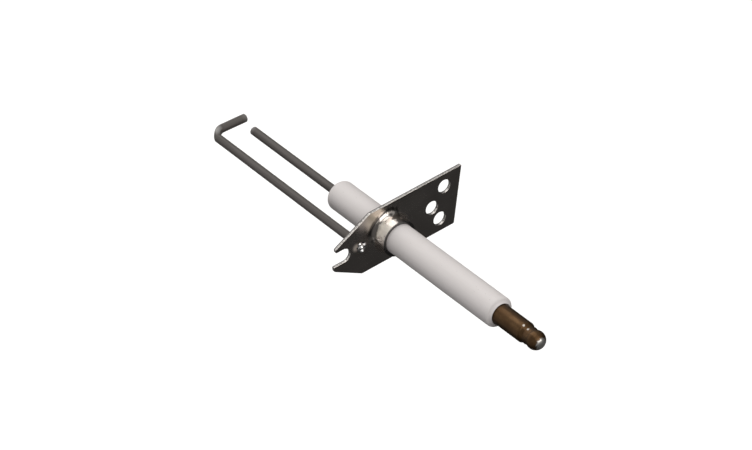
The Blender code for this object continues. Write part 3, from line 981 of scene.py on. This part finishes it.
def make_spark_rod():
    """Straight rod from the spark tip into the terminal."""
    start = SPARK_LOW.x
    length = SPARK_HIGH.x - start
    route = end_cap(start, 0.0, 0.0, 0.0, -1)
    for distance in between(length - 2.0 * ROD_CHAMFER):
        along = ROD_CHAMFER + distance
        route.append((start + along, 0.0, 0.0, ROD_RADIUS, 0.0, along, 0.0))
    route += end_cap(start + length, 0.0, 0.0, length, 1)
    return swept_rod("live_rod", route)


def on_bend(turn):
    """Point (x, y) of the ground rod's centre line after a turn of its bend."""
    x = LEG_X + BEND_RADIUS - BEND_RADIUS * math.sin(turn)
    y = GROUND_Y + BEND_RADIUS - BEND_RADIUS * math.cos(turn)
    return x, y


def make_ground_rod():
    """Bent rod from the bracket to the leaning leg that crosses in front of the spark tip."""
    start = GROUND_HIGH.x
    straight = start - (LEG_X + BEND_RADIUS)
    route = end_cap(start, GROUND_Y, math.pi, 0.0, -1)
    for distance in between(straight - ROD_CHAMFER):
        along = ROD_CHAMFER + distance
        route.append((start - along, GROUND_Y, math.pi, ROD_RADIUS, 0.0, along, 0.0))
    whole_turn = math.pi / 2.0 + LEG_LEAN
    for step in range(BEND_STEPS + 1):
        turn = whole_turn * step / BEND_STEPS
        x, y = on_bend(turn)
        bend = math.sin(math.pi * step / BEND_STEPS)
        distance = straight + BEND_RADIUS * turn
        route.append((x, y, math.pi - turn, ROD_RADIUS, bend, distance, 0.0))
    heading = math.pi - whole_turn
    reached = straight + BEND_RADIUS * whole_turn
    leg_x, leg_y = on_bend(whole_turn)
    leg = (LEG_END_Y - leg_y) / math.cos(LEG_LEAN)
    for distance in between(leg - ROD_CHAMFER):
        x = leg_x + distance * math.sin(LEG_LEAN)
        y = leg_y + distance * math.cos(LEG_LEAN)
        route.append((x, y, heading, ROD_RADIUS, 0.0, reached + distance, 0.0))
    tip_x = leg_x + leg * math.sin(LEG_LEAN)
    route += end_cap(tip_x, LEG_END_Y, heading, reached + leg, 1)
    return swept_rod("bent_ground_rod", route)


def weld_height(across, up):
    """Height of the nugget over the plate: its dome and lumps, blended into one skin."""
    total = 0.0
    for centre_y, centre_z, reach, height in WELD_LUMPS:
        share = 1.0 - ((across - centre_y) ** 2 + (up - centre_z) ** 2) / reach ** 2
        if share > 0.0:
            tilted = height - WELD_TILT * (up - centre_z)
            total += (max(0.0, tilted) * math.sqrt(share)) ** WELD_BLEND
    return total ** (1.0 / WELD_BLEND)


def make_weld():
    """Nugget of weld metal over the ground rod's end: a low dome with a few lumps."""
    shape = bmesh.new()
    rings = [[shape.verts.new((WELD_ROOT, GROUND_Y, 0.0))]]
    for step in range(WELD_RINGS + 1):
        spread = 1.0 - step / WELD_RINGS
        ring = []
        for index in range(WELD_STEPS if spread > 0.0 else 1):
            angle = 2.0 * math.pi * index / WELD_STEPS
            wave = WELD_SPREAD + WELD_WAVE * math.sin(3.0 * angle + 1.0)
            reach = WELD_HIGH.z * spread * wave
            across = reach * math.cos(angle)
            up = reach * math.sin(angle)
            along = WELD_ROOT + weld_height(across, up)
            ring.append(shape.verts.new((along, GROUND_Y + across, up)))
        rings.append(ring)
    for first, second in zip(rings, rings[1:]):
        bridge(shape, first, second)
    return to_piece("weld_nugget", shape, sharp_degrees=75.0)


# ---------------------------------------------------------------- terminal

def terminal_profile():
    """Terminal from its ball end over the neck groove and pin to the shank."""
    ball = arc((BALL_CENTRE, 0.0), BALL_RADIUS, 0.0, 118.0, steps=30)
    chamfer = PIN_CHAMFER
    neck = [
        (NECK_END + 0.1 * MM, NECK_RADIUS + 0.02 * MM),
        (NECK_END - 0.1 * MM, NECK_RADIUS - 0.1 * MM),
        (NECK_START + 0.15 * MM, NECK_RADIUS - 0.1 * MM),
        (NECK_START, NECK_RADIUS),
        (PIN_SHOULDER + 0.1 * MM, PIN_RADIUS - chamfer),
    ]
    shoulder = arc((PIN_SHOULDER - chamfer, PIN_RADIUS - chamfer), chamfer, 15.0, 90.0, steps=5)
    pin = line(shoulder[-1], (PIN_BASE, PIN_RADIUS), steps=16)
    shank = [
        (PIN_BASE, PIN_RADIUS),
        (PIN_BASE, SHANK_RADIUS),
        (TERMINAL_LOW.x, SHANK_RADIUS),
        (TERMINAL_LOW.x, 0.0),
    ]
    tip = [(BALL_CENTRE + BALL_RADIUS, 0.0)]
    return tip + ball[1:] + neck + shoulder + pin + shank


def make_terminal():
    """Turned terminal with a ball end that a lead's boot snaps over, and a worn tip."""
    shape = turned(terminal_profile(), PIN_STEPS)
    wear = shape.verts.layers.float.new("edge")
    for vertex in shape.verts:
        radius = math.hypot(vertex.co.y, vertex.co.z)
        if vertex.co.x > BALL_CENTRE:
            vertex[wear] = max(0.0, 1.0 - (radius / TIP_WEAR_RADIUS) ** 3)
    return to_piece("snap_terminal", shape, sharp_degrees=50.0)


# ---------------------------------------------------------------- studio

def make_camera():
    """Long lens, looking down on the electrode from the terminal's end."""
    azimuth = math.radians(VIEW_AZIMUTH)
    elevation = math.radians(VIEW_ELEVATION)
    level = math.cos(elevation)
    back = Vector((math.sin(azimuth) * level, -math.cos(azimuth) * level, math.sin(elevation)))
    camera = bpy.data.objects.new("camera", bpy.data.cameras.new("camera"))
    camera.data.lens = VIEW_LENS
    camera.data.clip_start, camera.data.clip_end = VIEW_CLIP
    camera.location = VIEW_AIM + back * VIEW_DISTANCE
    upright = (-back).to_track_quat("-Z", "Y")
    rolled = upright @ Quaternion((0.0, 0.0, 1.0), math.radians(VIEW_ROLL))
    camera.rotation_euler = rolled.to_euler()
    bpy.context.scene.collection.objects.link(camera)
    bpy.context.scene.camera = camera


def softbox(name, place, size, power):
    """Rectangular studio light aimed at the electrode."""
    lamp = bpy.data.lights.new(name, "AREA")
    lamp.shape = "RECTANGLE"
    lamp.size, lamp.size_y = size
    lamp.energy = power
    lamp.color = LAMP_COLOUR
    holder = bpy.data.objects.new(name, lamp)
    holder.location = place
    holder.rotation_euler = Vector(place).to_track_quat("Z", "Y").to_euler()
    bpy.context.scene.collection.objects.link(holder)


def make_floor():
    """Pale floor well below the electrode, seen from above only, that fades into the backdrop."""
    shape = bmesh.new()
    bmesh.ops.create_grid(shape, x_segments=1, y_segments=1, size=FLOOR_SIZE / 2.0)
    floor = to_piece("floor", shape)
    floor.location.z = BRACKET_LOW.z - FLOOR_DROP
    paper = Surface("paper", metallic=0.0)
    paper.set("Roughness", 0.9)
    fibres = paper.noise((0.2, 0.2, 0.2), detail=4.0)
    paper.set("Base Color", paper.blend(fibres, *PAPER))
    paper.set("Emission Color", WHITE)
    paper.set("Emission Strength", FLOOR_GLOW)
    away = paper.distance((0.0, 0.0, 0.0))
    reach = paper.span(away, *FLOOR_FADE, 1.0, 0.0)
    behind = paper.nodes.new("ShaderNodeNewGeometry").outputs["Backfacing"]
    paper.set("Alpha", paper.math("MULTIPLY", reach, paper.math("SUBTRACT", 1.0, behind)))
    floor.data.materials.append(paper.material)
    floor.visible_glossy = False
    floor.visible_diffuse = False
    floor.visible_shadow = False


def make_surroundings():
    """White backdrop for the camera; a pale room over a dark table lights the electrode."""
    world = bpy.data.worlds.new("studio")
    bpy.context.scene.world = world
    world.use_nodes = True
    nodes = world.node_tree.nodes
    links = world.node_tree.links
    upward = nodes.new("ShaderNodeVectorMath")
    upward.operation = "DOT_PRODUCT"
    upward.inputs[1].default_value = ROOM_AXIS
    links.new(nodes.new("ShaderNodeTexCoord").outputs["Generated"], upward.inputs[0])
    shade = nodes.new("ShaderNodeMapRange")
    shade.interpolation_type = "SMOOTHSTEP"
    shade.inputs["From Min"].default_value = ROOM_EDGE[0]
    shade.inputs["From Max"].default_value = ROOM_EDGE[1]
    shade.inputs["To Min"].default_value = TABLE_LIGHT
    shade.inputs["To Max"].default_value = ROOM_LIGHT
    links.new(upward.outputs["Value"], shade.inputs["Value"])
    seen = nodes.new("ShaderNodeMix")
    links.new(nodes.new("ShaderNodeLightPath").outputs["Is Camera Ray"], seen.inputs[0])
    links.new(shade.outputs["Result"], seen.inputs[2])
    seen.inputs[3].default_value = 1.0
    links.new(seen.outputs[0], nodes["Background"].inputs["Strength"])
    nodes["Background"].inputs["Color"].default_value = WHITE


def make_studio():
    """Camera, lights, backdrop and floor."""
    bpy.context.scene.view_settings.view_transform = "Standard"
    make_camera()
    make_surroundings()
    for lamp in LAMPS:
        softbox(*lamp)
    make_floor()


# ---------------------------------------------------------------- assembly

def install(piece, node, surface=None):
    """Let a piece stand for a CAD node, with its finish."""
    if surface is not None:
        piece.data.materials.append(surface)
    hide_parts(node)
    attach(piece, "root")


make_studio()
paste = cement()
install(make_bracket(), "bracket")
install(make_tube(), "insulator", alumina())
install(make_spark_rod(), "spark_rod", electrode_alloy("spark_alloy"))
install(make_ground_rod(), "ground_rod", electrode_alloy("ground_alloy"))
install(make_weld(), "ground_rod_weld", weld_metal())
install(make_terminal(), "terminal", terminal_brass())
install(make_front_cement(), "front_cement", paste)
install(make_rear_cement(), "rear_cement", paste)
install(make_collar_cement(), "collar_cement", paste)
